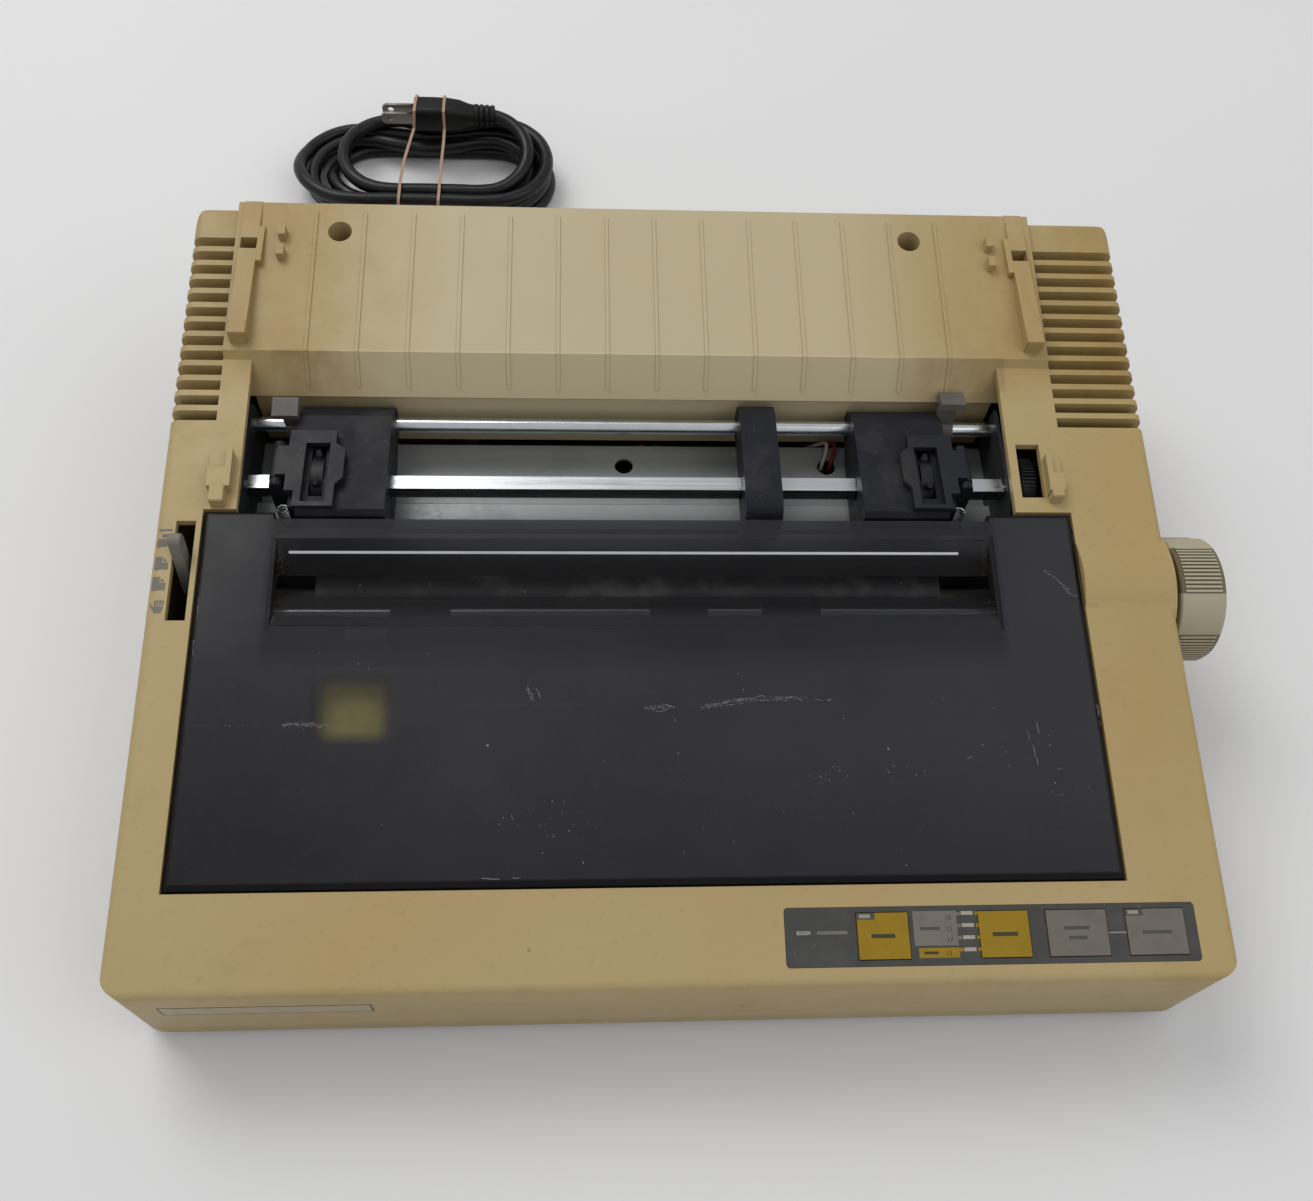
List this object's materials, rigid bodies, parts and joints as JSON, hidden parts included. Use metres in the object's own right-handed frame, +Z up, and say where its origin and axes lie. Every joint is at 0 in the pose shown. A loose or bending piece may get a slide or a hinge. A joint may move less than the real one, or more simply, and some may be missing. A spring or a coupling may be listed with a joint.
{
  "type": "dot matrix printer",
  "caption": "Wedge-shaped desktop dot matrix printer with a hinged smoke cover, paper slot, rear push tractor, side platen knob and key panel.",
  "frame": {"origin": "on the floor, under the centre of the printer's own bounding box (case, cover and knob; the power cord is left out)", "axes": "+X across the printer to the knob side, +Y from the front to the rear, +Z up"},
  "size_m": [0.406, 0.472, 0.1095],
  "materials": {
    "case_upper": "aged beige, fine texture",
    "case_lower": "aged beige, fine texture",
    "smoke": "translucent smoke, scratched",
    "knob_plastic": "aged beige",
    "rubber": "matt",
    "band": "tan paper-covered tie",
    "steel": "ground",
    "sheet": "zinc plated sheet",
    "black_plastic": "moulded, dusty",
    "white_plastic": "moulded",
    "grey_plastic": "moulded",
    "yellow_plastic": "moulded",
    "panel_film": "film",
    "lamp": "frosted",
    "motor_metal": "dark zinc",
    "head_metal": "cast, dark",
    "core": "varnished",
    "board": "lacquered",
    "chips": "moulded",
    "wire": "insulated"
  },
  "bodies": {
    "case": {"lower_case": "case_lower", "upper_case": "case_upper", "rubber_feet": "rubber", "case_screws": "steel", "chassis": "sheet", "round_shaft": "steel", "paper_pan": "sheet", "carriage_rods": "steel", "timing_belt": "rubber", "carriage_motor": "motor_metal", "transformer": "core", "circuit_board": "board", "board_parts": "chips", "wiring": "wire", "interface_port": "black_plastic", "power_switch": "black_plastic", "control_panel": "panel_film", "indicator_lamps": "lamp", "strain_relief": "rubber", "cord_lead": "rubber", "cord_hank": "rubber", "power_plug": "rubber", "cord_band": "band"},
    "front_cover": {"smoke_cover": "smoke", "tear_bar": "steel"},
    "platen": {"platen_roller": "rubber", "platen_shaft": "steel", "platen_knob": "knob_plastic", "platen_gear": "black_plastic"},
    "idler": {"idler_gear": "white_plastic"},
    "tractor_drive": {"square_shaft": "steel", "tractor_gear": "black_plastic"},
    "left_tractor": {"tractor_left": "black_plastic", "spring_left": "steel"},
    "right_tractor": {"tractor_right": "black_plastic", "spring_right": "steel"},
    "left_pin_wheel": {"pin_wheel_left": "black_plastic"},
    "right_pin_wheel": {"pin_wheel_right": "black_plastic"},
    "left_pin_cover": {"pin_cover_left": "black_plastic"},
    "right_pin_cover": {"pin_cover_right": "black_plastic"},
    "left_lock": {"lock_lever_left": "grey_plastic"},
    "right_lock": {"lock_lever_right": "grey_plastic"},
    "middle_support": {"paper_support": "black_plastic"},
    "bail": {"bail_frame": "black_plastic", "bail_rod": "steel"},
    "rollers": {"bail_rollers": "rubber"},
    "lever": {"release_lever": "grey_plastic"},
    "print_carriage": {"carriage": "black_plastic", "print_head": "head_metal", "ribbon_cartridge": "black_plastic"},
    "ribbon_winder": {"ribbon_knob": "black_plastic"},
    "motor_pulley": {"drive_pulley": "white_plastic"},
    "end_pulley": {"idler_pulley": "white_plastic"},
    "rocker": {"switch_rocker": "black_plastic"},
    "key_a": {"button_a": "yellow_plastic"},
    "key_b": {"button_b": "yellow_plastic"},
    "key_c": {"button_c": "grey_plastic"},
    "key_d": {"button_d": "grey_plastic"}
  },
  "joints": [
    {"name": "cover_hinge", "type": "hinge", "parent": "case", "child": "front_cover", "pos_m": [-0.0204, 0.0115, 0.08024], "axis": [-1, 0, 0], "range_deg": [0, 95]},
    {"name": "platen_turn", "type": "hinge", "parent": "case", "child": "platen", "pos_m": [0, -0.004, 0.05599], "axis": [1, 0, 0], "continuous": true},
    {"name": "idler_turn", "type": "hinge", "parent": "case", "child": "idler", "pos_m": [0.1315, 0.02012, 0.0585], "axis": [1, 0, 0], "continuous": true},
    {"name": "tractor_turn", "type": "hinge", "parent": "case", "child": "tractor_drive", "pos_m": [-0.025, 0.037, 0.07299], "axis": [1, 0, 0], "continuous": true},
    {"name": "left_tractor_slide", "type": "slide", "parent": "case", "child": "left_tractor", "axis": [1, 0, 0], "range_m": [-0.006, 0.06]},
    {"name": "right_tractor_slide", "type": "slide", "parent": "case", "child": "right_tractor", "axis": [1, 0, 0], "range_m": [-0.018, 0.006]},
    {"name": "support_slide", "type": "slide", "parent": "case", "child": "middle_support", "axis": [1, 0, 0], "range_m": [-0.06, 0.012]},
    {"name": "left_wheel_turn", "type": "hinge", "parent": "left_tractor", "child": "left_pin_wheel", "pos_m": [-0.1458, 0.037, 0.07299], "axis": [1, 0, 0], "continuous": true},
    {"name": "right_wheel_turn", "type": "hinge", "parent": "right_tractor", "child": "right_pin_wheel", "pos_m": [0.0906, 0.037, 0.07299], "axis": [1, 0, 0], "continuous": true},
    {"name": "left_flap_hinge", "type": "hinge", "parent": "left_tractor", "child": "left_pin_cover", "pos_m": [-0.161, 0.039, 0.08359], "axis": [0, -1, 0], "range_deg": [0, 110]},
    {"name": "right_flap_hinge", "type": "hinge", "parent": "right_tractor", "child": "right_pin_cover", "pos_m": [0.1058, 0.039, 0.08359], "axis": [0, 1, 0], "range_deg": [0, 110]},
    {"name": "left_lock_hinge", "type": "hinge", "parent": "left_tractor", "child": "left_lock", "pos_m": [-0.1588, 0.067, 0.07299], "axis": [1, 0, 0], "range_deg": [-26, 0]},
    {"name": "right_lock_hinge", "type": "hinge", "parent": "right_tractor", "child": "right_lock", "pos_m": [0.1036, 0.067, 0.07299], "axis": [1, 0, 0], "range_deg": [0, 26]},
    {"name": "bail_hinge", "type": "hinge", "parent": "case", "child": "bail", "pos_m": [-0.026, -0.01, 0.03999], "axis": [1, 0, 0], "range_deg": [0, 12]},
    {"name": "roller_turn", "type": "hinge", "parent": "bail", "child": "rollers", "pos_m": [-0.026, -0.0176, 0.06849], "axis": [1, 0, 0], "continuous": true},
    {"name": "lever_hinge", "type": "hinge", "parent": "case", "child": "lever", "pos_m": [-0.1917, -0.0077, 0.04599], "axis": [1, 0, 0], "range_deg": [-4, 34]},
    {"name": "carriage_slide", "type": "slide", "parent": "case", "child": "print_carriage", "axis": [1, 0, 0], "range_m": [0, 0.203]},
    {"name": "ribbon_turn", "type": "hinge", "parent": "print_carriage", "child": "ribbon_winder", "pos_m": [-0.149, -0.057, 0.066], "axis": [0, 0, 1], "continuous": true},
    {"name": "motor_pulley_turn", "type": "hinge", "parent": "case", "child": "motor_pulley", "pos_m": [-0.161, -0.0945, 0.038], "axis": [0, 0, 1], "range_deg": [-1460, 1]},
    {"name": "end_pulley_turn", "type": "hinge", "parent": "case", "child": "end_pulley", "pos_m": [0.111, -0.0945, 0.038], "axis": [0, 0, 1], "range_deg": [-1460, 1]},
    {"name": "rocker_hinge", "type": "hinge", "parent": "case", "child": "rocker", "pos_m": [0.152, 0.1465, 0.037], "axis": [1, 0, 0], "range_deg": [0, 14]},
    {"name": "key_a_press", "type": "slide", "parent": "case", "child": "key_a", "axis": [0, 0.1499, -0.9887], "range_m": [0, 0.0008], "stiffness_N_per_m": 300, "springref_m": -0.0005},
    {"name": "key_b_press", "type": "slide", "parent": "case", "child": "key_b", "axis": [0, 0.1499, -0.9887], "range_m": [0, 0.0008], "stiffness_N_per_m": 300, "springref_m": -0.0005},
    {"name": "key_c_press", "type": "slide", "parent": "case", "child": "key_c", "axis": [0, 0.1499, -0.9887], "range_m": [0, 0.0008], "stiffness_N_per_m": 300, "springref_m": -0.0005},
    {"name": "key_d_press", "type": "slide", "parent": "case", "child": "key_d", "axis": [0, 0.1499, -0.9887], "range_m": [0, 0.0008], "stiffness_N_per_m": 300, "springref_m": -0.0005}
  ],
  "couplings": [
    {"joint": "idler_turn", "follows": "platen_turn", "ratio": -1.3659},
    {"joint": "tractor_turn", "follows": "platen_turn", "ratio": 1.1667},
    {"joint": "left_wheel_turn", "follows": "platen_turn", "ratio": 1.1667},
    {"joint": "right_wheel_turn", "follows": "platen_turn", "ratio": 1.1667},
    {"joint": "motor_pulley_turn", "follows": "carriage_slide", "rad_per_m": -125},
    {"joint": "end_pulley_turn", "follows": "carriage_slide", "rad_per_m": -125}
  ]
}
